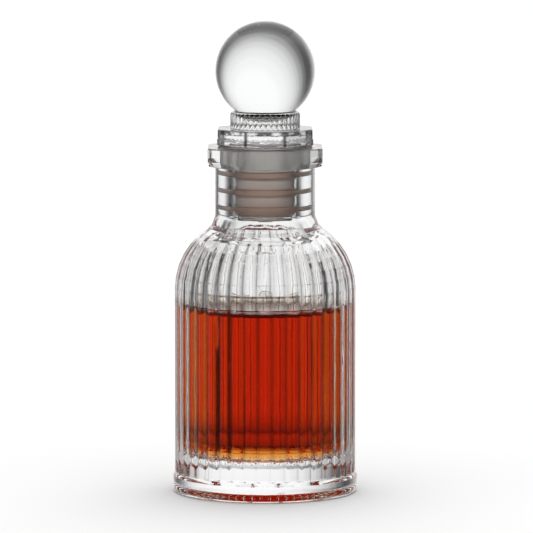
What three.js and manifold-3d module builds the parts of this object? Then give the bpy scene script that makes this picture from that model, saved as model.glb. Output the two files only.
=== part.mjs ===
// Aftershave bottle: a fluted glass bottle with a ball stopper, part filled with amber aftershave.
// Millimetres, +Z up. The origin is the centre of the foot, and -Y is the front.
// The bottle stays put. The finned sleeve lifts out of the neck with the stopper, and the glass
// stopper turns in the sleeve.
import * as THREE from "three";
import { mergeVertices } from "three/addons/utils/BufferGeometryUtils.js";
import Module from "manifold-3d";

const wasm = await Module();
wasm.setup();

// --- Driving dimensions ---

const FIT_GAP = 0.05; // between pieces that rest on or slide in each other
const FILL_GAP = 0.3; // between the liquid and the glass around it
const EDGE = 0.4; // size of the small roundings on edges, which are drawn as chamfers

const BODY_RADIUS = 27.3; // over the crests of the flutes
const FLUTE_COUNT = 40;
const FLUTE_DEPTH = 1;
const FLUTE_SQUARENESS = 3.5; // 2 for a flute that is round all the way to its grooves
const FLUTE_START = 6.1; // height where the flutes run out into the heel
const FLUTE_RUN_OUT = 0.3;

const HEEL_RADIUS = 27.9;
const HEEL_TOP = 5;
const HEEL_ROUND = 1.4;
const FOOT_INNER_RADIUS = 21.4; // the bearing ring runs from here to the heel's rounding
const PUSH_UP = 1.8; // how deep the recess inside the bearing ring is
const RECESS_EDGE = 3; // how wide its sloping edge is

const SHOULDER_START = 61.7; // height where the straight wall turns into the dome
const SHOULDER_RADIUS = 21.7;
const SHOULDER_TOP_RADIUS = 17.1; // where the dome meets the ledge under the neck
const LEDGE_HEIGHT = 80.1;

const NECK_RADIUS = 15.1;
const NECK_START = 84;
const LIP_FLATS = 17.25; // from the axis to the front, back and side flats of the eight-sided lip
const LIP_SLANTS = 18.05; // and to the four flats between them
const LIP_BOTTOM = 99;
const LIP_TOP = 104.75;
const LIP_CHAMFER = 1.5;

const WALL = 5.4;
const FLOOR = 11.45; // top of the thick base
const FLOOR_ROUND = 4.5;
const FLOOR_RISE = 2.8; // how far the cavity's floor domes up in the middle
const CAVITY_DOME_END = 64; // in degrees; a cone leads from there to the bore
const BORE_RADIUS = 9.5;
const BORE_BOTTOM = 83.5;
const MOUTH_FLARE = 0.8;
const FILL_LEVEL = 54.7;

const FLANGE_RADIUS = 14.2;
const FLANGE_THICKNESS = 0.7;
const FIN_RADIUS = BORE_RADIUS - FIT_GAP;
const FIN_COUNT = 3;
const FIN_PITCH = 5.2;
const FIN_RIM = 1.4; // thickness of a fin at its rim
const FIN_ROOT = 0.25; // how far its top tapers up to the core
const FIN_UNDER = 1; // and its underside down
const LOWEST_FIN = 85.7; // underside of its rim
const CORE_RADIUS = 8.9;
const BARREL_BOTTOM = 98.4;
const BARREL_ROUND = 0.7;
const SLEEVE_TIP = 82.6;
const SLEEVE_TIP_RADIUS = 8.3;
const SLEEVE_TIP_ROUND = 0.9;
const GATE_RADIUS = 2.3;
const GATE_HEIGHT = 0.8;

const PEG_GAP = 0.1;
const PEG_TOP_RADIUS = 7.5;
const PEG_TIP_RADIUS = 7;
const PEG_TIP = 85;
const DISC_FLATS = 14.45; // from the axis to each flat of the eight-sided disc
const DISC_TOP = 110.3;
const DISC_GROOVE_HEIGHT = 107.6;
const DISC_GROOVE_DEPTH = 0.35;
const DISC_STEP = 0.2; // how far the disc is set back above its groove
const COLLAR_RADIUS = 10.5;
const COLLAR_TOP = 115.4;
const COLLAR_RIBS = 40;
const COLLAR_RIB_DEPTH = 0.35;

const BALL_RADIUS = 15;
const BALL_CENTRE = 127.6;
const CEMENT_THICKNESS = 0.4;
const CEMENT_RADIUS = 9.35; // how far the cement spreads from the axis
const DISH_MARGIN = 0.15; // and how much wider than that the dish is

const SIDES = 48; // facets round a plain turned piece
const FLUTE_SIDES = 4; // facets across one flute

// --- Helpers ---

const at = (radius, height) => new THREE.Vector2(radius, height);
const rad = THREE.MathUtils.degToRad;

/** Points on an arc of a turned profile. Angles are in degrees, 0 outwards and 90 up. */
function arc(radius, height, size, from, to, steps) {
  return Array.from({ length: steps + 1 }, (_, i) => {
    const angle = rad(from + ((to - from) * i) / steps);
    return at(radius + size * Math.cos(angle), height + size * Math.sin(angle));
  });
}

/** A profile, from its lower end on the axis to its upper end on the axis, turned about Z. */
const turned = (profile, sides = SIDES) =>
  new THREE.LatheGeometry(profile, sides).rotateX(Math.PI / 2);

/** A turned solid whose rows are pressed in along their normals, by cut(turn) times depths[row]. */
function fluted(profile, depths, sides, cut) {
  const geometry = new THREE.LatheGeometry(profile, sides);
  const position = geometry.attributes.position;
  const normal = geometry.attributes.normal;
  for (let i = 0; i < position.count; i++) {
    const side = Math.floor(i / profile.length);
    const press = depths[i % profile.length] * cut(side / sides);
    position.setXYZ(
      i,
      position.getX(i) - press * normal.getX(i),
      position.getY(i) - press * normal.getY(i),
      position.getZ(i) - press * normal.getZ(i),
    );
  }
  return geometry.rotateX(Math.PI / 2);
}

/** How deep a flute is at a turn of 0 to 1: 0 on its crest and 1 in the groove beside it. */
function fluteSection(turn) {
  const place = turn * FLUTE_COUNT;
  return Math.abs(2 * (place - Math.round(place))) ** FLUTE_SQUARENESS;
}

/**
 * An eight-sided solid with a flat to the front, from rows of (distance to the front flat, height).
 * Its widest row is flats to the front and slants to the flats between; the others are inset evenly.
 */
function eightSided(rows, flats, slants) {
  const geometry = new THREE.LatheGeometry(rows, 8);
  const position = geometry.attributes.position;
  for (let i = 0; i < position.count; i++) {
    const corner = Math.floor(i / rows.length);
    const { x: flat, y: height } = rows[i % rows.length];
    const half = flat && (slants - flats + flat) * Math.SQRT2 - flat;
    const spread = Math.atan2(half, flat);
    const angle = (Math.floor(corner / 2) * Math.PI) / 2 + (corner % 2 ? spread : -spread);
    const reach = Math.hypot(flat, half);
    position.setXYZ(i, reach * Math.sin(angle), height, reach * Math.cos(angle));
  }
  return geometry.rotateX(Math.PI / 2);
}

/** A closed geometry as a manifold-3d solid. */
function solid(geometry) {
  const bare = geometry.clone();
  bare.deleteAttribute("normal");
  bare.deleteAttribute("uv");
  const merged = mergeVertices(bare, 1e-4);
  return new wasm.Manifold(
    new wasm.Mesh({
      numProp: 3,
      vertProperties: merged.attributes.position.array,
      triVerts: new Uint32Array(merged.index.array),
    }),
  );
}

/** A manifold-3d solid as a geometry. */
function geometryOf(made) {
  const mesh = made.getMesh();
  const geometry = new THREE.BufferGeometry();
  geometry.setAttribute("position", new THREE.BufferAttribute(mesh.vertProperties, 3));
  geometry.setIndex(new THREE.BufferAttribute(mesh.triVerts, 1));
  geometry.computeVertexNormals();
  return geometry;
}

// --- Glass bottle ---

/** A point on the recess's sloping edge, at a share of the way from its ceiling to the foot. */
function recessEdge(share) {
  const drop = share * share * (3 - 2 * share);
  return at(FOOT_INNER_RADIUS - RECESS_EDGE * (1 - share), PUSH_UP * (1 - drop));
}

/** Foot, heel and the plain core that the flutes stand on, then the neck. */
function plainGlass() {
  const footOuter = HEEL_RADIUS - HEEL_ROUND;
  const core = BODY_RADIUS - FLUTE_DEPTH - 1;
  return turned([
    at(0, PUSH_UP),
    ...Array.from({ length: 5 }, (_, i) => recessEdge(i / 4)),
    ...arc(footOuter, HEEL_ROUND, HEEL_ROUND, -90, 0, 4),
    at(HEEL_RADIUS, HEEL_TOP),
    at(BODY_RADIUS, FLUTE_START),
    at(core, FLUTE_START + FLUTE_RUN_OUT),
    at(core, SHOULDER_START),
    at(SHOULDER_TOP_RADIUS - 2, LEDGE_HEIGHT - 1.6),
    at(SHOULDER_TOP_RADIUS - EDGE / 2, LEDGE_HEIGHT),
    at(SHOULDER_TOP_RADIUS - 2 * EDGE, LEDGE_HEIGHT + 2 * EDGE),
    at(NECK_RADIUS, NECK_START),
    at(NECK_RADIUS, LIP_BOTTOM + 1),
    at(0, LIP_BOTTOM + 1),
  ]);
}

function lip() {
  const rows = [
    at(0, LIP_BOTTOM),
    at(LIP_FLATS - LIP_CHAMFER, LIP_BOTTOM),
    at(LIP_FLATS, LIP_BOTTOM + LIP_CHAMFER),
    at(LIP_FLATS, LIP_TOP - EDGE),
    at(LIP_FLATS - EDGE, LIP_TOP),
    at(0, LIP_TOP),
  ];
  return eightSided(rows, LIP_FLATS, LIP_SLANTS);
}

/** The fluted wall and shoulder, whose flutes fade out at the heel and at the ledge. */
function flutedGlass() {
  const domeCentre = BODY_RADIUS - SHOULDER_RADIUS;
  const domeEnd = THREE.MathUtils.radToDeg(
    Math.acos((SHOULDER_TOP_RADIUS - domeCentre) / SHOULDER_RADIUS),
  );
  const dome = arc(domeCentre, SHOULDER_START, SHOULDER_RADIUS, 0, domeEnd, 6);
  const profile = [
    at(0, FLUTE_START - 0.5),
    at(BODY_RADIUS - 0.1, FLUTE_START - 0.5),
    at(BODY_RADIUS, FLUTE_START + FLUTE_RUN_OUT),
    ...dome,
    at(0, dome.at(-1).y),
  ];
  // A flute narrows with the dome's radius, and keeps its shape if its depth follows.
  const depths = profile.map((point, row) => {
    const plain = row < 2 || row > profile.length - 3;
    return plain ? 0 : (FLUTE_DEPTH * point.x) / BODY_RADIUS;
  });
  return fluted(profile, depths, FLUTE_COUNT * FLUTE_SIDES, fluteSection);
}

/** The middle of the cavity's floor, which domes up from the round corner at its edge. */
function floorDome(radius, floor) {
  return Array.from({ length: 6 }, (_, i) =>
    at((radius * i) / 6, floor + FLOOR_RISE * (1 - (i / 6) ** 2) ** 2),
  );
}

/** The space inside: a domed floor with a round corner, a domed shoulder, and the bore to the mouth. */
function cavity() {
  const radius = BODY_RADIUS - WALL;
  const domeCentre = BODY_RADIUS - SHOULDER_RADIUS;
  const domeSize = SHOULDER_RADIUS - WALL;
  const above = LIP_TOP + 1;
  return turned([
    ...floorDome(radius - FLOOR_ROUND, FLOOR),
    ...arc(radius - FLOOR_ROUND, FLOOR + FLOOR_ROUND, FLOOR_ROUND, -90, 0, 4),
    ...arc(domeCentre, SHOULDER_START, domeSize, 0, CAVITY_DOME_END, 6),
    at(BORE_RADIUS + EDGE, BORE_BOTTOM - 3 * EDGE),
    at(BORE_RADIUS, BORE_BOTTOM + 2 * EDGE),
    at(BORE_RADIUS, LIP_TOP - MOUTH_FLARE),
    at(BORE_RADIUS + MOUTH_FLARE, LIP_TOP),
    at(BORE_RADIUS + MOUTH_FLARE, above),
    at(0, above),
  ]);
}

function glassBottle() {
  const glass = solid(plainGlass()).add(solid(flutedGlass())).add(solid(lip()));
  return geometryOf(glass.subtract(solid(cavity())));
}

/** The aftershave in the bottle, up to its level surface. */
function fill() {
  const radius = BODY_RADIUS - WALL - FILL_GAP;
  const bottom = FLOOR + FILL_GAP;
  return turned([
    ...floorDome(radius - FLOOR_ROUND, bottom),
    ...arc(radius - FLOOR_ROUND, bottom + FLOOR_ROUND, FLOOR_ROUND, -90, 0, 4),
    at(radius, FILL_LEVEL),
    at(0, FILL_LEVEL),
  ]);
}

// --- Stopper ---

const flangeBottom = LIP_TOP + FIT_GAP;
const flangeTop = flangeBottom + FLANGE_THICKNESS;
const discBottom = flangeTop + FIT_GAP;

/** The outline of one sealing fin, from its lower root to its upper root. */
function fin(_, index) {
  const under = LOWEST_FIN + index * FIN_PITCH;
  return [
    at(CORE_RADIUS, under - FIN_UNDER),
    at(FIN_RADIUS, under),
    at(FIN_RADIUS, under + FIN_RIM),
    at(CORE_RADIUS, under + FIN_RIM + FIN_ROOT),
  ];
}

/** The plastic sleeve: a closed tip, its fins, a barrel that fills the mouth, and a flange on the lip. */
function sealSleeve() {
  return turned([
    at(0, SLEEVE_TIP - GATE_HEIGHT),
    at(GATE_RADIUS * 0.7, SLEEVE_TIP - GATE_HEIGHT),
    at(GATE_RADIUS, SLEEVE_TIP),
    at(SLEEVE_TIP_RADIUS - SLEEVE_TIP_ROUND, SLEEVE_TIP),
    at(SLEEVE_TIP_RADIUS, SLEEVE_TIP + SLEEVE_TIP_ROUND),
    ...Array.from({ length: FIN_COUNT }, fin).flat(),
    at(FIN_RADIUS - BARREL_ROUND, BARREL_BOTTOM),
    at(FIN_RADIUS, BARREL_BOTTOM + BARREL_ROUND),
    at(FIN_RADIUS, flangeBottom),
    at(FLANGE_RADIUS, flangeBottom),
    at(FLANGE_RADIUS, flangeTop),
    at(PEG_TOP_RADIUS + PEG_GAP, flangeTop),
    at(PEG_TIP_RADIUS + PEG_GAP, PEG_TIP),
    at(PEG_TIP_RADIUS + PEG_GAP - EDGE, PEG_TIP - PEG_GAP),
    at(0, PEG_TIP - PEG_GAP),
  ]);
}

/** The peg and the ribbed collar, with a dish in its top for the ball. */
function pegAndCollar() {
  const dishSize = BALL_RADIUS + CEMENT_THICKNESS + 2 * FIT_GAP;
  const dishAngle = THREE.MathUtils.radToDeg(Math.asin((CEMENT_RADIUS + DISH_MARGIN) / dishSize));
  const ribbed = [at(COLLAR_RADIUS, DISC_TOP + EDGE), at(COLLAR_RADIUS, COLLAR_TOP - EDGE)];
  const profile = [
    at(0, PEG_TIP),
    at(PEG_TIP_RADIUS - EDGE, PEG_TIP),
    at(PEG_TIP_RADIUS, PEG_TIP + EDGE),
    at(PEG_TOP_RADIUS, discBottom),
    at(PEG_TOP_RADIUS, DISC_TOP - 1),
    at(COLLAR_RADIUS, DISC_TOP - 1),
    ...ribbed,
    at(COLLAR_RADIUS - EDGE, COLLAR_TOP),
    ...arc(0, BALL_CENTRE, dishSize, dishAngle - 90, -90, 5),
  ];
  const depths = profile.map((point) => (ribbed.includes(point) ? COLLAR_RIB_DEPTH : 0));
  return fluted(profile, depths, 2 * COLLAR_RIBS, (turn) => Math.round(turn * 2 * COLLAR_RIBS) % 2);
}

/** The eight-sided disc, with a shallow groove round its edge. */
function disc() {
  const rows = [
    at(0, discBottom),
    at(DISC_FLATS - EDGE, discBottom),
    at(DISC_FLATS, discBottom + EDGE),
    at(DISC_FLATS, DISC_GROOVE_HEIGHT - EDGE),
    at(DISC_FLATS - DISC_GROOVE_DEPTH, DISC_GROOVE_HEIGHT),
    at(DISC_FLATS - DISC_STEP, DISC_GROOVE_HEIGHT + EDGE),
    at(DISC_FLATS - DISC_STEP, DISC_TOP - EDGE),
    at(DISC_FLATS - DISC_STEP - EDGE, DISC_TOP),
    at(0, DISC_TOP),
  ];
  return eightSided(rows, DISC_FLATS, DISC_FLATS);
}

/** The pressed-glass head, which is one piece. */
const stopperHead = () => geometryOf(solid(pegAndCollar()).add(solid(disc())));

/** The film of clear cement between the dish and the ball. */
function ballCement() {
  const outer = BALL_RADIUS + FIT_GAP + CEMENT_THICKNESS;
  const inner = BALL_RADIUS + FIT_GAP;
  const spread = THREE.MathUtils.radToDeg(Math.asin(CEMENT_RADIUS / outer));
  return turned([
    ...arc(0, BALL_CENTRE, outer, -90, spread - 90, 5),
    ...arc(0, BALL_CENTRE, inner, spread - 90, -90, 5),
  ]);
}

/** The solid glass ball. */
const ballKnob = () => turned(arc(0, BALL_CENTRE, BALL_RADIUS, -90, 90, 20));

// --- Materials and assembly ---

const glass = (color, opacity) =>
  new THREE.MeshStandardMaterial({
    color,
    roughness: 0.05,
    metalness: 0,
    transparent: true,
    opacity,
  });
const clearGlass = glass(0xeef2f2, 0.35);
const amber = glass(0xb22a04, 0.85);
const cement = glass(0xd8d8cf, 0.5);
const milkyPlastic = new THREE.MeshStandardMaterial({
  color: 0x9c938a,
  roughness: 0.45,
  metalness: 0,
});

function piece(name, geometry, material) {
  const mesh = new THREE.Mesh(geometry, material);
  mesh.name = name;
  return mesh;
}

function group(...pieces) {
  const made = new THREE.Group();
  made.add(...pieces);
  return made;
}

const vessel = group(
  piece("glass_bottle", glassBottle(), clearGlass),
  piece("aftershave_fill", fill(), amber),
);
const stopper = group(
  piece("seal_sleeve", sealSleeve(), milkyPlastic),
  piece("stopper_head", stopperHead(), clearGlass),
  piece("ball_cement", ballCement(), cement),
  piece("ball_knob", ballKnob(), clearGlass),
);

export default group(vessel, stopper);
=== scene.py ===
"""Aftershave bottle: fluted glass bottle, amber aftershave, finned sleeve and glass ball stopper."""

import math

import bpy
import numpy as np
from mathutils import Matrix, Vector


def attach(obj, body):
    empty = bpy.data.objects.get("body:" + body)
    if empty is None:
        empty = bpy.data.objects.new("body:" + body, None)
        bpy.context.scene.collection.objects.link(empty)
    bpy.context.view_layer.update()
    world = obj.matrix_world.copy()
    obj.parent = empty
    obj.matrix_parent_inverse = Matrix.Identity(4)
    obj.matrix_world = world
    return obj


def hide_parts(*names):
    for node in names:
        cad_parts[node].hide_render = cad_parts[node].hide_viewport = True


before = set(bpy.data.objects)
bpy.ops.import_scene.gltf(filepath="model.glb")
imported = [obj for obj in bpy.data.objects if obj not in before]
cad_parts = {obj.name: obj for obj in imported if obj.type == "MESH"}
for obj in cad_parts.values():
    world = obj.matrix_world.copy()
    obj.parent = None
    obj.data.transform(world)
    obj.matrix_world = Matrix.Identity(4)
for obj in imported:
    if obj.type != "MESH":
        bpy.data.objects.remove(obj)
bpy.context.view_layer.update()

MM = 0.001

# --- Driving dimensions, in millimetres. The larger ones are the CAD model's. ---

BODY_RADIUS = 27.3  # over the crests of the flutes
FLUTES = 40
FLUTE_DEPTH = 1.0
FLUTE_SQUARENESS = 3.5  # 2 for a flute that is round all the way to its grooves
FLUTE_START = 6.1  # top of the bevel over the heel
FLUTE_FOOT = FLUTE_START + 0.1
FLUTE_RUN_OUT = 0.2  # how far over this foot the flutes have their full depth

HEEL_RADIUS = 27.9
HEEL_TOP = 5
HEEL_ROUND = 1.4
FOOT_INNER_RADIUS = 21.4
PUSH_UP = 1.8  # how deep the underside's recess is
RECESS_EDGE = 3  # and how wide its sloping edge is

SHOULDER_START = 61.7
SHOULDER_RADIUS = 21.7
SHOULDER_TOP_RADIUS = 17.1
DOME_CENTRE = BODY_RADIUS - SHOULDER_RADIUS
LEDGE = 0.9  # height and width of the small step where the shoulder ends

NECK_RADIUS = 15.1
NECK_START = 84
LIP_FLATS = 17.25  # from the axis to the flats at the front, back and sides of the eight-sided lip
LIP_SLANTS = 18.05  # and to the four between them
LIP_BOTTOM = 99
LIP_TOP = 104.75
LIP_CHAMFER = 1.5
CORNER_BLUNTING = 0.15  # how much is taken off the corners of an eight-sided piece

WALL = 5.4
CAVITY_RADIUS = BODY_RADIUS - WALL
FLOOR = 11.45
FLOOR_ROUND = 4.5
FLOOR_RISE = 2.8  # how far the cavity's floor domes up in the middle
BORE_RADIUS = 9.5
BORE_BOTTOM = 83.5
CAVITY_DOME_END = 64  # in degrees; a cone leads from there to the bore
MOUTH_FLARE = 0.8

FILL_LEVEL = 54.7
CAPILLARY = 2.0  # the liquid's capillary length
MENISCUS = CAPILLARY * math.sqrt(2)  # how far the liquid climbs the glass
WETTING = 0.05  # how far the liquid and the cement reach into the glass, so that no air shows between them

SEAT_GAP = 0.05  # under the sleeve's flange and under the stopper's disc
FLANGE_RADIUS = 14.2
FLANGE_THICKNESS = 0.7
FLANGE_BOTTOM = LIP_TOP + SEAT_GAP
FLANGE_TOP = FLANGE_BOTTOM + FLANGE_THICKNESS
FINS = 3
FIN_PITCH = 5.2
FIN_RIM = 1.4
FIN_ROOT = 0.25
FIN_UNDER = 1.0  # how far a fin's underside tapers down to the core
LOWEST_FIN = 85.7
CORE_RADIUS = 8.9
BARREL_BOTTOM = 98.4
BARREL_TAPER = 0.6  # height of the slope from the core out to the barrel
SLEEVE_TIP = 82.6
SLEEVE_TIP_RADIUS = 8.3
GATE_RADIUS = 2.3
GATE_HEIGHT = 0.8
SQUEEZE = 0.02  # how far the sleeve presses into the glass inside and outside it

PEG_TOP_RADIUS = 7.5
PEG_TIP_RADIUS = 7
PEG_TIP = 85
PEG_GAP = 0.1  # under the peg's tip
DISC_FLATS = 14.45  # from the axis to the flats of the disc, which is eight-sided too
DISC_BOTTOM = FLANGE_TOP + SEAT_GAP
DISC_TOP = 110.3
DISC_GROOVE_HEIGHT = 107.6
DISC_GROOVE_DEPTH = 0.45
DISC_STEP = 0.2  # how much smaller the disc is over its groove
COLLAR_RADIUS = 10.5
COLLAR_TOP = 115.4
COLLAR_RIBS = 40
COLLAR_RIB_DEPTH = 0.35

BALL_RADIUS = 15
BALL_CENTRE = 127.6
CEMENT_THICKNESS = 0.4
CEMENT_RADIUS = 9.35
DISH_MARGIN = 0.15  # how far the dish reaches past the cement

# --- Camera ---

CAMERA_DISTANCE = 1.65
CAMERA_ELEVATION = math.radians(6.4)
CAMERA_TARGET = Vector((0.0004, 0, 0.0683))
CAMERA_LENS = 368.6
CAMERA_SENSOR = 36


def make_camera():
    """A long lens looking slightly down on the front."""
    data = bpy.data.cameras.new("camera")
    data.lens = CAMERA_LENS
    data.sensor_width = CAMERA_SENSOR
    data.clip_end = 20
    camera = bpy.data.objects.new("camera", data)
    back = Vector((0, -math.cos(CAMERA_ELEVATION), math.sin(CAMERA_ELEVATION)))
    camera.location = CAMERA_TARGET + back * CAMERA_DISTANCE
    camera.rotation_euler = (-back).to_track_quat("-Z", "Y").to_euler()
    bpy.context.collection.objects.link(camera)
    bpy.context.scene.camera = camera


# --- Turned profiles ---

ARC_STEP = math.radians(10)
SUPPORT = 0.18  # distance from a rounding to the next row, which keeps the flat beside it flat
LONGEST_STEP = 2.2
FLUTE_COLUMNS = 8  # columns of the mesh across one flute
DOME_ROWS = 12  # rows over the cavity's domed floor
BALL_ROWS = 72


def arc(radius, height, size, start, end):
    """Points on an arc of a profile. Angles are in degrees, 0 outwards and 90 up."""
    count = max(3, round(abs(math.radians(end - start)) / ARC_STEP))
    angles = np.radians(np.linspace(start, end, count + 1))
    return [(radius + size * math.cos(a), height + size * math.sin(a)) for a in angles]


def rounded(*corners):
    """The profile through corners given as (radius, height, rounding)."""
    points = []
    for i, (radius, height, rounding) in enumerate(corners):
        here = Vector((radius, height))
        if rounding == 0 or i in (0, len(corners) - 1):
            points.append(tuple(here))
            continue
        before = (Vector(corners[i - 1][:2]) - here).normalized()
        after = (Vector(corners[i + 1][:2]) - here).normalized()
        half = before.angle(after) / 2
        reach = rounding / math.tan(half)
        centre = here + (before + after).normalized() * (rounding / math.sin(half))
        first = here + before * reach - centre
        turn = math.pi - 2 * half
        side = 1 if before.x * after.y - before.y * after.x < 0 else -1
        count = max(2, round(turn / ARC_STEP))
        for k in range(count + 1):
            a = side * turn * k / count
            x = centre.x + first.x * math.cos(a) - first.y * math.sin(a)
            y = centre.y + first.x * math.sin(a) + first.y * math.cos(a)
            points.append((x, y))
    return points


def spaced(points, longest=LONGEST_STEP):
    """The profile with rows added along its long straight stretches, and one close to each of their ends."""
    made = [points[0]]
    for (r0, z0), (r1, z1) in zip(points, points[1:]):
        length = math.hypot(r1 - r0, z1 - z0)
        if length < 1e-6:
            continue
        shares = []
        if length > 4 * SUPPORT:
            inner = np.linspace(SUPPORT, length - SUPPORT, max(2, math.ceil(length / longest) + 1))
            shares = list(inner / length)
        made += [(r0 + (r1 - r0) * share, z0 + (z1 - z0) * share) for share in [*shares, 1]]
    return made


def lathe(name, profile, columns=96, press=None, reshape=None):
    """A closed smooth mesh object: the profile, which starts and ends on the axis, turned about Z.

    press(angles, row_radius, row_height) gives how far each point of a row is pushed in, in mm, and
    reshape(angles, row_radius, row_height) gives the radius that a point has instead of its row's.
    """
    profile = np.array(profile)
    tangent = np.gradient(profile, axis=0)
    normal = np.stack([tangent[:, 1], -tangent[:, 0]], axis=1)
    normal /= np.maximum(np.linalg.norm(normal, axis=1), 1e-9)[:, None]
    angles = np.linspace(0, 2 * math.pi, columns, endpoint=False)
    rings = []
    for (radius, height), (out, up) in zip(profile[1:-1], normal[1:-1]):
        depth = press(angles, radius, height) if press else np.zeros(columns)
        r = (reshape(angles, radius, height) if reshape else radius) - depth * out
        z = height - depth * up
        rings.append(np.stack([r * np.sin(angles), -r * np.cos(angles), z], axis=1))
    points = np.concatenate([[[0, 0, profile[0, 1]]], *rings, [[0, 0, profile[-1, 1]]]]) * MM
    last = len(points) - 1
    following = [(i + 1) % columns for i in range(columns)]
    faces = [(0, 1 + j, 1 + i) for i, j in enumerate(following)]
    for row in range(len(rings) - 1):
        low = 1 + row * columns
        high = low + columns
        faces += [(low + i, low + j, high + j, high + i) for i, j in enumerate(following)]
    top = 1 + (len(rings) - 1) * columns
    faces += [(top + i, top + j, last) for i, j in enumerate(following)]
    mesh = bpy.data.meshes.new(name)
    mesh.from_pydata(points.tolist(), [], faces)
    mesh.polygons.foreach_set("use_smooth", [True] * len(faces))
    mesh.update()
    made = bpy.data.objects.new(name, mesh)
    bpy.context.collection.objects.link(made)
    return made


def fade(value, start, end):
    """0 before start and 1 after end, with a smooth rise between."""
    t = np.clip((value - start) / (end - start), 0, 1)
    return t * t * (3 - 2 * t)


def corner_reach(flats, slants):
    """How far from the axis the slightly blunted corners of an eight-sided piece are."""
    return math.hypot(flats, slants * math.sqrt(2) - flats) - CORNER_BLUNTING


def eight_sided(angles, radius, flats, slants, core):
    """The radius on an eight-sided piece that is round inside its core, with a flat at angle 0."""
    if radius <= core:
        return np.full(len(angles), radius)
    quarter = math.pi / 2
    off_flat = angles - np.round(angles / quarter) * quarter
    off_slant = np.abs(off_flat) - quarter / 2
    reach = corner_reach(flats, slants)
    edge = np.minimum(np.minimum(flats / np.cos(off_flat), slants / np.cos(off_slant)), reach)
    return core + (radius - core) * (edge - core) / (reach - core)


# --- Glass bottle ---

LIP_RADIUS = corner_reach(LIP_FLATS, LIP_SLANTS)

DOME_END = math.degrees(math.acos((SHOULDER_TOP_RADIUS - DOME_CENTRE) / SHOULDER_RADIUS))
DOME_END_HEIGHT = SHOULDER_START + SHOULDER_RADIUS * math.sin(math.radians(DOME_END))


def outside_profile():
    """From the middle of the underside up to the inner edge of the lip."""
    recess = [
        (FOOT_INNER_RADIUS - inward, PUSH_UP * fade(inward, 0, RECESS_EDGE))
        for inward in [FOOT_INNER_RADIUS, *np.linspace(RECESS_EDGE, 0, 9)]
    ]
    foot = rounded(
        (*recess[-1], 0),
        (HEEL_RADIUS, 0, HEEL_ROUND),
        (HEEL_RADIUS, HEEL_TOP, 0.3),
        (BODY_RADIUS, FLUTE_START, 0.25),
        (BODY_RADIUS, FLUTE_FOOT + FLUTE_RUN_OUT, 0),
        (BODY_RADIUS, SHOULDER_START, 0),
    )
    dome = arc(DOME_CENTRE, SHOULDER_START, SHOULDER_RADIUS, 0, DOME_END)
    neck = rounded(
        (*dome[-1], 0),
        (SHOULDER_TOP_RADIUS - 0.2, DOME_END_HEIGHT + 0.35, 0.25),
        (SHOULDER_TOP_RADIUS - LEDGE, DOME_END_HEIGHT + LEDGE, 0.3),
        (NECK_RADIUS, NECK_START, 3),
        (NECK_RADIUS, LIP_BOTTOM, 0.4),
        (LIP_RADIUS - LIP_CHAMFER, LIP_BOTTOM, 0.5),
        (LIP_RADIUS, LIP_BOTTOM + LIP_CHAMFER, 0.5),
        (LIP_RADIUS, LIP_TOP, 0.45),
        (BORE_RADIUS + MOUTH_FLARE, LIP_TOP, 0.4),
        (BORE_RADIUS, LIP_TOP - MOUTH_FLARE, 0.4),
        (BORE_RADIUS, BORE_BOTTOM, 0),
    )
    return recess + foot[1:] + dome[1:] + neck[1:]


def wetted_profile(grow=0):
    """The wall and floor of the cavity, from the start of the shoulder down to the middle of the floor."""
    radius = CAVITY_RADIUS + grow
    floor = FLOOR - grow
    dome_radius = radius - FLOOR_ROUND
    side = rounded((radius, SHOULDER_START, 0), (radius, floor, FLOOR_ROUND), (0, floor, 0))
    shares = np.linspace(1, 0, DOME_ROWS + 1)[1:]
    dome = [(dome_radius * share, floor + FLOOR_RISE * (1 - share**2) ** 2) for share in shares]
    return side[:-1] + dome


def inside_profile():
    """From the foot of the bore down to the middle of the cavity's floor."""
    dome = arc(DOME_CENTRE, SHOULDER_START, SHOULDER_RADIUS - WALL, CAVITY_DOME_END, 0)
    bore = rounded((BORE_RADIUS, BORE_BOTTOM + 4, 0), (BORE_RADIUS, BORE_BOTTOM, 3), (*dome[0], 0))
    return bore[1:] + dome[1:] + wetted_profile()[1:]


def flute_section(angles):
    """How deep a flute is: 0 over its gently rounded crest and 1 in the narrow groove beside it."""
    flute = angles / (2 * math.pi) * FLUTES
    return np.abs(2 * (flute - np.round(flute))) ** FLUTE_SQUARENESS


def waviness(angles, height, seed, size):
    """A slight unevenness of moulded glass, in mm, that closes on itself round the bottle."""
    rng = np.random.default_rng(seed)
    total = np.zeros(len(angles))
    waves = 14
    for _ in range(waves):
        turns = rng.integers(0, 26)
        length = rng.uniform(6, 30)
        phase = rng.uniform(0, 2 * math.pi)
        total += np.sin(turns * angles + 2 * math.pi * height / length + phase)
    return total * size / math.sqrt(waves)


def cavity_unevenness(angles, height):
    """The cavity's wall, blown against nothing, is less true than the moulded outside."""
    amount = fade(height, FLOOR - 1, FLOOR + 5) * (1 - fade(height, BORE_BOTTOM - 4, BORE_BOTTOM))
    return waviness(angles, height, seed=5, size=0.05) * amount


def bottle_press(angles, radius, height):
    """Flutes outside, unevenness inside.

    A row's radius and height tell which surface it is on, with margins that reach into no other surface.
    """
    in_cavity = radius < CAVITY_RADIUS + 0.5 and FLOOR + 1 < height < BORE_BOTTOM + 2
    on_floor = radius < CAVITY_RADIUS - 2 and height < FLOOR + FLOOR_RISE + 1
    if in_cavity and not on_floor:
        return cavity_unevenness(angles, height)
    if FLUTE_START - 0.5 < height <= DOME_END_HEIGHT and radius > SHOULDER_TOP_RADIUS - 0.05:
        rise = fade(height, FLUTE_FOOT, FLUTE_FOOT + FLUTE_RUN_OUT)
        return FLUTE_DEPTH * radius / BODY_RADIUS * rise * flute_section(angles)
    return np.zeros(len(angles))


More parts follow.
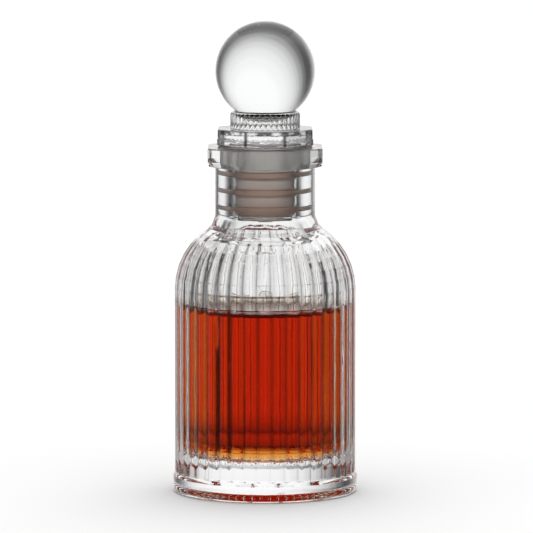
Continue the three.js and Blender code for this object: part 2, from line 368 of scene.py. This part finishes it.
def lip_shape(angles, radius, height):
    """The lip's eight sides."""
    if height < LIP_BOTTOM:
        return np.full(len(angles), radius)
    return eight_sided(angles, radius, LIP_FLATS, LIP_SLANTS, NECK_RADIUS)


def make_bottle():
    """The bottle. Its second material is for the flutes and its third for the wetted glass."""
    profile = spaced(outside_profile() + inside_profile())
    made = lathe("bottle_glass", profile, FLUTE_COLUMNS * FLUTES, bottle_press, lip_shape)
    for face in made.data.polygons:
        centre = face.center / MM
        radius = math.hypot(centre.x, centre.y)
        rise = max(0, centre.z - SHOULDER_START)
        outside = math.hypot(radius - DOME_CENTRE, rise) > SHOULDER_RADIUS - WALL / 2
        if outside and FLUTE_START < centre.z < DOME_END_HEIGHT:
            face.material_index = 1
        elif not outside and FLOOR - 0.5 < centre.z < FILL_LEVEL + MENISCUS:
            face.material_index = 2
    return made


def meniscus(height):
    """How far from a wetted flat wall a liquid's surface is at a height over its level."""
    share = height / CAPILLARY
    bend = math.acosh(2 / share) - math.sqrt(4 - share**2)
    bend_at_wall = math.acosh(math.sqrt(2)) - math.sqrt(2)
    return CAPILLARY * (bend - bend_at_wall)


def make_aftershave():
    """The liquid, which wets the glass and climbs it in a meniscus."""
    side = wetted_profile(WETTING)
    side[0] = (side[0][0], FILL_LEVEL + MENISCUS)
    below = list(reversed(spaced(side)))
    wall = CAVITY_RADIUS + WETTING
    climb = [MENISCUS * (1 - share) ** 2 for share in np.linspace(0, 1, 15)[1:-1]]
    surface = [(wall - meniscus(rise), FILL_LEVEL + rise) for rise in climb]
    surface += [(surface[-1][0] * share, FILL_LEVEL) for share in (0.8, 0.6, 0.4, 0.2, 0)]
    return lathe("aftershave_liquid", below + surface, FLUTE_COLUMNS * FLUTES, liquid_press)


def liquid_press(angles, radius, height):
    """The liquid's side follows the unevenness of the cavity's wall."""
    if radius > CAVITY_RADIUS - 2 and height > FLOOR + 1:
        return -cavity_unevenness(angles, height)
    return np.zeros(len(angles))


# --- Stopper ---

DISC_RADIUS = corner_reach(DISC_FLATS, DISC_FLATS)


def make_sleeve():
    """The soft plastic sleeve, with its fins squeezed against the bore."""
    rim = BORE_RADIUS + SQUEEZE
    corners = [
        (0, SLEEVE_TIP - GATE_HEIGHT, 0),
        (GATE_RADIUS * 0.8, SLEEVE_TIP - GATE_HEIGHT, 0.5),
        (GATE_RADIUS, SLEEVE_TIP, 0.15),
        (SLEEVE_TIP_RADIUS - 0.1, SLEEVE_TIP, 0.9),
        (SLEEVE_TIP_RADIUS, LOWEST_FIN - FIN_UNDER - 0.4, 0.2),
    ]
    for k in range(FINS):
        under = LOWEST_FIN + k * FIN_PITCH
        corners += [
            (CORE_RADIUS, under - FIN_UNDER, 0.1),
            (rim, under, 0.12),
            (rim, under + FIN_RIM, 0.12),
            (CORE_RADIUS, under + FIN_RIM + FIN_ROOT, 0.1),
        ]
    corners += [
        (CORE_RADIUS, BARREL_BOTTOM - 0.3, 0.08),
        (rim, BARREL_BOTTOM + BARREL_TAPER, 0.5),
        (rim, FLANGE_BOTTOM, 0.1),
        (FLANGE_RADIUS, FLANGE_BOTTOM, 0.2),
        (FLANGE_RADIUS, FLANGE_TOP, 0.2),
        (PEG_TOP_RADIUS - SQUEEZE, FLANGE_TOP, 0.1),
        (PEG_TIP_RADIUS - SQUEEZE, PEG_TIP - PEG_GAP, 0.6),
        (0, PEG_TIP - PEG_GAP, 0),
    ]
    return lathe("finned_sleeve", spaced(rounded(*corners)), columns=160)


def head_press(angles, radius, height):
    """Ribs round the collar, which die away at its top and bottom."""
    if radius < COLLAR_RADIUS - 0.8 or height < DISC_TOP:
        return np.zeros(len(angles))
    run_in = fade(height, DISC_TOP + 0.1, DISC_TOP + 0.6)
    run_out = 1 - fade(height, COLLAR_TOP - 1, COLLAR_TOP)
    return run_in * run_out * COLLAR_RIB_DEPTH * (0.5 - 0.5 * np.cos(COLLAR_RIBS * angles))


def disc_shape(angles, radius, height):
    """The disc's eight sides."""
    return eight_sided(angles, radius, DISC_FLATS, DISC_FLATS, COLLAR_RADIUS + 0.1)


def make_head():
    """Peg, grooved disc and ribbed collar, with a dish that holds the ball."""
    dish = BALL_RADIUS + CEMENT_THICKNESS
    dish_rim = CEMENT_RADIUS + DISH_MARGIN
    dish_angle = math.degrees(math.asin(dish_rim / dish))
    body = rounded(
        (0, PEG_TIP, 0),
        (PEG_TIP_RADIUS, PEG_TIP, 0.7),
        (PEG_TOP_RADIUS, DISC_BOTTOM, 0.2),
        (DISC_RADIUS, DISC_BOTTOM, 0.35),
        (DISC_RADIUS, DISC_GROOVE_HEIGHT - 0.2, 0.25),
        (DISC_RADIUS - DISC_GROOVE_DEPTH, DISC_GROOVE_HEIGHT, 0.15),
        (DISC_RADIUS - DISC_STEP, DISC_GROOVE_HEIGHT + 0.35, 0.2),
        (DISC_RADIUS - DISC_STEP, DISC_TOP, 0.5),
        (COLLAR_RADIUS, DISC_TOP, 0.3),
        (COLLAR_RADIUS, COLLAR_TOP, 1.0),
        (dish_rim, COLLAR_TOP - 0.02, 0),
    )
    bowl = arc(0, BALL_CENTRE, dish, dish_angle - 90, -90)
    return lathe("stopper_glass", spaced(body + bowl), 8 * COLLAR_RIBS, head_press, disc_shape)


def make_cement():
    """The cement's film, in optical contact with the dish and the ball."""
    outer = BALL_RADIUS + CEMENT_THICKNESS + WETTING
    inner = BALL_RADIUS - WETTING
    spread = math.degrees(math.asin(CEMENT_RADIUS / outer))
    film = arc(0, BALL_CENTRE, outer, -90, spread - 90) + arc(0, BALL_CENTRE, inner, spread - 90, -90)
    return lathe("cement_film", film)


def make_ball():
    """The solid ball."""
    angles = np.linspace(0, math.pi, BALL_ROWS + 1)
    profile = [(BALL_RADIUS * math.sin(a), BALL_CENTRE - BALL_RADIUS * math.cos(a)) for a in angles]
    return lathe("glass_ball", profile, 2 * BALL_ROWS)


# --- Shader nodes ---

NOISE_LOW = 0.3  # most of a noise lies between these
NOISE_HIGH = 0.7


def new_material(name):
    """A node material, with its node tree and its shader."""
    material = bpy.data.materials.new(name)
    material.use_nodes = True
    tree = material.node_tree
    return material, tree, tree.nodes["Principled BSDF"]


def math_node(tree, operation, *values):
    """The result of one operation on numbers and sockets."""
    made = tree.nodes.new("ShaderNodeMath")
    made.operation = operation
    for socket, value in zip(made.inputs, values):
        if isinstance(value, (int, float)):
            socket.default_value = value
        else:
            tree.links.new(value, socket)
    return made.outputs["Value"]


def product(tree, first, *others):
    """All the values multiplied together."""
    for other in others:
        first = math_node(tree, "MULTIPLY", first, other)
    return first


def distance(tree, value, centre):
    """How far the value is from the centre, to either side."""
    return math_node(tree, "ABSOLUTE", math_node(tree, "SUBTRACT", value, centre))


def off_whole(tree, value):
    """How far the value is from the nearest whole number: 0 to 0.5."""
    return math_node(tree, "PINGPONG", value, 0.5)


def diagonal(tree, across, along):
    """The length of the diagonal of a rectangle."""
    squares = [math_node(tree, "POWER", side, 2) for side in (across, along)]
    return math_node(tree, "SQRT", math_node(tree, "ADD", *squares))


def ranged(tree, value, start, end, before=0, after=1):
    """Before while the value is under start, after once it is over end, and a straight line between."""
    made = tree.nodes.new("ShaderNodeMapRange")
    made.inputs["From Min"].default_value = start
    made.inputs["From Max"].default_value = end
    made.inputs["To Min"].default_value = before
    made.inputs["To Max"].default_value = after
    tree.links.new(value, made.inputs["Value"])
    return made.outputs["Result"]


def mixed(tree, share, first, second):
    """The colour that is the share of the way from first to second."""
    made = tree.nodes.new("ShaderNodeMix")
    made.data_type = "RGBA"
    tree.links.new(share, made.inputs["Factor"])
    for socket, value in ((made.inputs[6], first), (made.inputs[7], second)):
        if isinstance(value, tuple):
            socket.default_value = value
        else:
            tree.links.new(value, socket)
    return made.outputs[2]


def coordinates(tree, kind="Object"):
    """The X, Y and Z of the point, in metres from the object's origin, or of the direction in a world."""
    source = tree.nodes.new("ShaderNodeTexCoord")
    split = tree.nodes.new("ShaderNodeSeparateXYZ")
    tree.links.new(source.outputs[kind], split.inputs["Vector"])
    return split.outputs["X"], split.outputs["Y"], split.outputs["Z"]


def noise(tree, scale, detail, upright=1):
    """Noise with scale ups and downs per metre, and with upright times as many of them along Z."""
    source = tree.nodes.new("ShaderNodeTexCoord")
    stretch = tree.nodes.new("ShaderNodeMapping")
    stretch.inputs["Scale"].default_value = (1, 1, upright)
    made = tree.nodes.new("ShaderNodeTexNoise")
    made.inputs["Scale"].default_value = scale
    made.inputs["Detail"].default_value = detail
    tree.links.new(source.outputs["Object"], stretch.inputs["Vector"])
    tree.links.new(stretch.outputs["Vector"], made.inputs["Vector"])
    return made.outputs["Fac"]


def facing(tree):
    """0 where the surface faces the viewer and 1 at its rim."""
    made = tree.nodes.new("ShaderNodeLayerWeight")
    made.inputs["Blend"].default_value = 0.5
    return made.outputs["Facing"]


def bump(tree, shader, height, depth):
    """Unevenness that is depth millimetres deep."""
    made = tree.nodes.new("ShaderNodeBump")
    made.inputs["Distance"].default_value = depth * MM
    tree.links.new(height, made.inputs["Height"])
    tree.links.new(made.outputs["Normal"], shader.inputs["Normal"])


# --- Painted shade and specks on the glass, from 0, clear, to 1, dark ---

GROOVE_SHARE = 0.38  # how much of a flute's width the painted shade in its groove takes
DRY_GROOVE_SHADE = 0.3  # how dark the painted shade in the grooves over the liquid is, as a share of that in front of it
DRY_SEAM_SHADE = 0.45  # and the same for the painted shade along the mould's seam
SEAM = math.radians(-28)  # bearing of the seam from the front, and the width of its painted shade
SEAM_WIDTH = math.radians(9)

LOW_RING = 15.2  # lower edge of the ring of painted shade on the wetted wall
LOW_RING_WIDTH = 7.5
LOW_RING_EDGE = 1.3
LOW_RING_STRENGTH = 0.88

DISC_SHADE_WIDTH = 0.9  # width of the painted shade along the disc's edges


def flute_shade_and_specks(tree):
    """Painted shade in the grooves, streaked unevenly, painted shade along the mould's seam, and specks over
    the liquid.
    """
    x, y, z = coordinates(tree)
    bearing = math_node(tree, "ARCTAN2", x, product(tree, y, -1))
    groove = product(tree, off_whole(tree, product(tree, bearing, FLUTES / (2 * math.pi))), 2)
    streaks = noise(tree, 420, 3, upright=0.12)
    over_foot = ranged(tree, z, FLOOR * MM, (FLOOR + 4) * MM)
    surface = (FILL_LEVEL + 1) * MM, (FILL_LEVEL + 4) * MM
    strength = ranged(tree, z, *surface, before=1, after=DRY_GROOVE_SHADE)

    # Painted shade in the grooves between the flutes.
    groove_shade = product(
        tree,
        ranged(tree, groove, 1 - GROOVE_SHARE, 1),
        ranged(tree, streaks, 0.35, 0.65, before=0.5, after=0.95),
        strength,
    )
    # Painted shade along the mould's seam.
    seam_shade = product(
        tree,
        ranged(tree, distance(tree, bearing, SEAM), SEAM_WIDTH / 2, SEAM_WIDTH, before=1, after=0),
        ranged(tree, streaks, 0.34, 0.4),
        ranged(tree, groove, 0.35, 0.65),
        ranged(tree, z, *surface, before=1, after=DRY_SEAM_SHADE),
    )
    specks = product(
        tree,
        ranged(tree, noise(tree, 1300, 1), 0.7, 0.74, after=0.85),
        math_node(tree, "SUBTRACT", 1, strength),
    )
    shade_marks = math_node(tree, "MAXIMUM", groove_shade, seam_shade)
    return product(tree, math_node(tree, "MAXIMUM", shade_marks, specks), over_foot)


def low_ring_shade(tree):
    """Painted shade in a ring low on the wetted wall, which fades upwards."""
    z = coordinates(tree)[2]
    darkest = LOW_RING + LOW_RING_EDGE
    under = ranged(tree, z, LOW_RING * MM, darkest * MM, after=LOW_RING_STRENGTH)
    over = ranged(tree, z, darkest * MM, (LOW_RING + LOW_RING_WIDTH) * MM, before=1, after=0)
    return product(tree, under, over)


def disc_shade(tree):
    """Painted shade at the disc's corners, and patchy painted shade along its top and bottom edges."""
    x, y, z = coordinates(tree)
    side = product(tree, math_node(tree, "ARCTAN2", x, y), 8 / (2 * math.pi))
    corners = ranged(tree, product(tree, off_whole(tree, side), 2), 0.84, 0.95)
    off_top = distance(tree, z, (DISC_TOP - 0.7) * MM)
    top = ranged(tree, off_top, 0.5 * MM, DISC_SHADE_WIDTH * MM, before=1, after=0)
    bottom = ranged(tree, z, (FLANGE_TOP + 0.3) * MM, (FLANGE_TOP + DISC_SHADE_WIDTH) * MM, before=0.9, after=0)
    patchy = ranged(tree, noise(tree, 300, 2), 0.4, 0.55, before=0.25)
    edges = product(tree, math_node(tree, "MAXIMUM", top, bottom), patchy)
    collar = (COLLAR_RADIUS + 1) * MM, (COLLAR_RADIUS + 2) * MM
    outside_collar = ranged(tree, diagonal(tree, x, y), *collar)
    return product(tree, math_node(tree, "MAXIMUM", corners, edges), outside_collar)


# --- Materials ---

CLEAR = (0.99, 0.995, 0.995, 1)
GLASS_RIM_SHADE = (0.9, 0.91, 0.91, 1)  # painted shade for glass seen along its surface
# the dark colour of the painted shade, and of the specks on the flutes
GLASS_SHADE_MARK = (0.025, 0.025, 0.025, 1)
FULL_SHINE = (1, 1, 1, 1)
NO_SHINE = (0.06, 0.06, 0.06, 1)  # for surfaces where glass and liquid touch, which mirror next to nothing

AMBER = (0.968, 0.782, 0.42, 1)
AMBER_DENSITY = 440  # per metre

# painted amber light at the tip; the top is the plastic's own colour
PLASTIC_TIP_AMBER_LIGHT = (0.87, 0.76, 0.71, 1)
PLASTIC_TOP = (0.97, 0.95, 0.93, 1)
PLASTIC_FIN = (0.86, 0.68, 0.58, 1)
PLASTIC_SHADE_LINE = (0.3, 0.22, 0.2, 1)  # painted shade: the dark line under a fin
# painted shade for the sleeve's rims
PLASTIC_RIM_SHADE = (0.4, 0.36, 0.33, 1)


def glass(name, unevenness, shade_marks=None, shine=FULL_SHINE):
    """Clear glass with painted shade darkening its rims, faintly smeared and, in millimetres, slightly
    uneven.
    """
    material, tree, shader = new_material(name)
    # Painted shade: the colour darkens towards the rims, where the glass is seen along its surface.
    colour = mixed(tree, ranged(tree, facing(tree), 0.55, 1), CLEAR, GLASS_RIM_SHADE)
    # Painted shade, and specks on the flutes, darken the colour where the marks say.
    if shade_marks:
        colour = mixed(tree, shade_marks(tree), colour, GLASS_SHADE_MARK)
    tree.links.new(colour, shader.inputs["Base Color"])
    smear = ranged(tree, noise(tree, 60, 4), NOISE_LOW, NOISE_HIGH, after=0.03)
    tree.links.new(smear, shader.inputs["Roughness"])
    shader.inputs["Specular Tint"].default_value = shine
    shader.inputs["Transmission Weight"].default_value = 1
    shader.inputs["IOR"].default_value = 1.5
    bump(tree, shader, noise(tree, 220, 3), unevenness)
    return material


def liquid():
    """Amber aftershave. Its colour is in its depth, so that thin stretches are yellow and thick ones red."""
    material, tree, shader = new_material("amber_aftershave")
    shader.inputs["Base Color"].default_value = (1, 1, 1, 1)
    shader.inputs["Transmission Weight"].default_value = 1
    shader.inputs["Roughness"].default_value = 0
    shader.inputs["IOR"].default_value = 1.36
    shader.inputs["Specular Tint"].default_value = NO_SHINE
    depth = tree.nodes.new("ShaderNodeVolumeAbsorption")
    depth.inputs["Color"].default_value = AMBER
    depth.inputs["Density"].default_value = AMBER_DENSITY
    tree.links.new(depth.outputs["Volume"], tree.nodes["Material Output"].inputs["Volume"])
    bump(tree, shader, noise(tree, 80, 1), 0.02)
    return material


def at_fins(tree, z, level, start, end, strength):
    """The strength near a level of the lowest fin, and near the same level of every other.

    It falls to nothing from start to end, which are distances from the level as shares of the pitch.
    """
    fins_up = math_node(tree, "DIVIDE", math_node(tree, "SUBTRACT", z, level * MM), FIN_PITCH * MM)
    return ranged(tree, off_whole(tree, fins_up), start, end, before=strength, after=0)


def soft_plastic():
    """Milky translucent plastic, browner in its fins, with painted amber light browning it towards its tip,
    painted shade in a dark line under each fin, and painted shade darkening its rims.
    """
    material, tree, shader = new_material("milky_plastic")
    z = coordinates(tree)[2]
    cloud = noise(tree, 180, 4)
    up = ranged(tree, z, SLEEVE_TIP * MM, BARREL_BOTTOM * MM)
    veins = ranged(tree, cloud, NOISE_LOW, NOISE_HIGH, before=-0.12, after=0.12)
    # Painted amber light: the sleeve browns towards its tip as if lit through the liquid below.
    colour = mixed(tree, math_node(tree, "ADD", up, veins), PLASTIC_TIP_AMBER_LIGHT, PLASTIC_TOP)
    under_barrel = ranged(tree, z, (BARREL_BOTTOM - 0.5) * MM, BARREL_BOTTOM * MM, before=1, after=0)
    bands = at_fins(tree, z, LOWEST_FIN + FIN_RIM / 2, start=0.16, end=0.3, strength=1)
    colour = mixed(tree, product(tree, bands, under_barrel), colour, PLASTIC_FIN)
    # Painted shade: a dark line under each fin.
    shade_lines = at_fins(tree, z, LOWEST_FIN - 0.3, start=0.03, end=0.09, strength=0.75)
    colour = mixed(tree, product(tree, shade_lines, under_barrel), colour, PLASTIC_SHADE_LINE)
    # Painted shade: the colour darkens towards the rims.
    rim_shade = ranged(tree, facing(tree), 0.35, 0.9, after=0.6)
    tree.links.new(mixed(tree, rim_shade, colour, PLASTIC_RIM_SHADE), shader.inputs["Base Color"])
    roughness = ranged(tree, cloud, NOISE_LOW, NOISE_HIGH, before=0.32, after=0.42)
    tree.links.new(roughness, shader.inputs["Roughness"])
    shader.inputs["Transmission Weight"].default_value = 0.88
    shader.inputs["Subsurface Weight"].default_value = 0.5
    shader.inputs["Subsurface Radius"].default_value = (1, 0.8, 0.65)
    shader.inputs["Subsurface Scale"].default_value = 3 * MM
    shader.inputs["IOR"].default_value = 1.5
    bump(tree, shader, noise(tree, 900, 2), 0.03)
    return material


def clear_cement():
    """Clear cured cement, slightly clouded."""
    material, tree, shader = new_material("clear_cement")
    shader.inputs["Base Color"].default_value = (0.9, 0.9, 0.87, 1)
    shader.inputs["Transmission Weight"].default_value = 1
    shader.inputs["IOR"].default_value = 1.49
    clouds = ranged(tree, noise(tree, 500, 3), 0.4, 0.7, after=0.3)
    tree.links.new(clouds, shader.inputs["Roughness"])
    return material


def pale_floor():
    """Matt and nearly white."""
    material, _, shader = new_material("pale_floor")
    shader.inputs["Base Color"].default_value = (0.9, 0.9, 0.9, 1)
    shader.inputs["Roughness"].default_value = 0.9
    shader.inputs["Specular IOR Level"].default_value = 0.1
    return material


# --- Studio ---

FLOOR_HALF = 12  # metres

TENT_TILT = 22  # height of the backdrop's brightest part, in degrees
TENT_TURN = 9  # how far it is to the right
BACK_WIDTH = 42.5  # degrees from there to where the backdrop is half as bright: to the sides,
BACK_DEPTH = 57  # down,
BACK_RISE = 110  # and up
# Brightness at distances from the brightest part, as shares of the widths above: the backdrop fades
# into dark cards, and beyond them the room and the table are pale.
TENT_FADE = [
    (0.4, 1.0), (0.6, 0.92), (0.74, 0.83), (0.86, 0.7),  # backdrop
    (0.95, 0.56), (1.06, 0.36), (1.2, 0.17), (1.34, 0.07),  # its edge
    (1.55, 0.04), (1.72, 0.12), (1.95, 0.3), (2.3, 0.42),  # cards, then room
]
TENT_REACH = 2.4  # a distance past the last of them
TENT_STRENGTH = 1.05
SHADOW = 0.22  # brightness of the table just under the bottle, as a share of what it would be
SHADOW_EDGE = -0.92, -0.6  # the sines of the slopes between which the shadow fades out
FILTERED = 0.88  # how much of the front is kept out of mirror images, as by a polarizing filter


def make_floor():
    """A wide pale floor, which isn't seen in the glass."""
    corners = [(-FLOOR_HALF, -FLOOR_HALF, 0), (FLOOR_HALF, -FLOOR_HALF, 0)]
    corners += [(FLOOR_HALF, FLOOR_HALF, 0), (-FLOOR_HALF, FLOOR_HALF, 0)]
    mesh = bpy.data.meshes.new("floor")
    mesh.from_pydata(corners, [], [(0, 1, 2, 3)])
    mesh.materials.append(pale_floor())
    floor = bpy.data.objects.new("floor", mesh)
    floor.visible_transmission = False
    floor.visible_glossy = False
    bpy.context.collection.objects.link(floor)


def tent_brightness(tree, away):
    """The brightness of the tent at a distance from its brightest part."""
    made = tree.nodes.new("ShaderNodeValToRGB")
    made.color_ramp.interpolation = "EASE"
    elements = made.color_ramp.elements
    while len(elements) < len(TENT_FADE):
        elements.new(0.5)
    for element, (far, level) in zip(elements, TENT_FADE):
        element.position = far / TENT_REACH
        element.color = (level, level, level, 1)
    tree.links.new(math_node(tree, "DIVIDE", away, TENT_REACH), made.inputs["Fac"])
    return made.outputs["Color"]


def make_world():
    """A light tent: a white backdrop, dark cards round its edges, and a pale room."""
    world = bpy.data.worlds.new("studio")
    bpy.context.scene.world = world
    world.use_nodes = True
    tree = world.node_tree
    x, y, z = coordinates(tree, "Generated")

    slope = math_node(tree, "ARCSINE", z)
    bearing = math_node(tree, "DEGREES", math_node(tree, "ARCTAN2", x, y))
    sideways = product(tree, distance(tree, bearing, TENT_TURN), math_node(tree, "COSINE", slope))
    over = math_node(tree, "SUBTRACT", math_node(tree, "DEGREES", slope), TENT_TILT)
    is_over = math_node(tree, "GREATER_THAN", over, 0)
    reach = math_node(tree, "ADD", BACK_DEPTH, product(tree, is_over, BACK_RISE - BACK_DEPTH))
    across = math_node(tree, "DIVIDE", sideways, BACK_WIDTH)
    along = math_node(tree, "DIVIDE", math_node(tree, "ABSOLUTE", over), reach)
    tent = tent_brightness(tree, diagonal(tree, across, along))
    tent = product(tree, tent, ranged(tree, z, *SHADOW_EDGE, before=SHADOW))

    ray = tree.nodes.new("ShaderNodeLightPath").outputs
    in_front = math_node(tree, "LESS_THAN", y, 0)
    mirrored = product(tree, ray["Is Glossy Ray"], ray["Is Reflection Ray"], in_front)
    kept = math_node(tree, "SUBTRACT", 1, product(tree, mirrored, FILTERED))
    # What the camera sees directly is as pale as the floor.
    shown = mixed(tree, ray["Is Camera Ray"], product(tree, tent, kept), (1, 1, 1, 1))
    background = tree.nodes["Background"]
    background.inputs["Strength"].default_value = TENT_STRENGTH
    tree.links.new(shown, background.inputs["Color"])


def make_lamp():
    """A wide soft light overhead, which lights the floor and the sleeve and leaves the glass alone."""
    data = bpy.data.lights.new("overhead", "SUN")
    data.angle = math.radians(120)
    data.energy = 1.9
    lamp = bpy.data.objects.new("overhead", data)
    lamp.visible_transmission = False
    lamp.visible_glossy = False
    bpy.context.collection.objects.link(lamp)


def set_light_paths():
    """Enough bounces for light to get through the nested glass, and a plain display transform."""
    scene = bpy.context.scene
    scene.cycles.max_bounces = 28
    scene.cycles.transmission_bounces = 24
    scene.cycles.glossy_bounces = 12
    scene.view_settings.view_transform = "Standard"


# --- Assembly ---


def place(piece, body, node, slot, *materials):
    """Finishes a piece, which rides on a body and stands for a node of the CAD model."""
    for material in materials:
        piece.data.materials.append(material)
    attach(piece, body)
    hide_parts(node)


make_camera()
make_floor()
make_world()
make_lamp()
set_light_paths()

plain_glass = glass("bottle_glass", unevenness=0.05)
fluted_glass = glass("fluted_glass", unevenness=0.05, shade_marks=flute_shade_and_specks)
wetted_glass = glass("wetted_glass", unevenness=0, shade_marks=low_ring_shade, shine=NO_SHINE)
pressed_glass = glass("pressed_glass", unevenness=0.16, shade_marks=disc_shade)
ball_glass = glass("ball_glass", unevenness=0.01)

place(make_bottle(), "bottle", "glass_bottle", "bottle_glass", plain_glass, fluted_glass, wetted_glass)
place(make_aftershave(), "bottle", "aftershave_fill", "aftershave", liquid())
place(make_sleeve(), "sleeve", "seal_sleeve", "sleeve_plastic", soft_plastic())
place(make_head(), "stopper", "stopper_head", "stopper_glass", pressed_glass)
place(make_cement(), "stopper", "ball_cement", "cement", clear_cement())
place(make_ball(), "stopper", "ball_knob", "ball_glass", ball_glass)
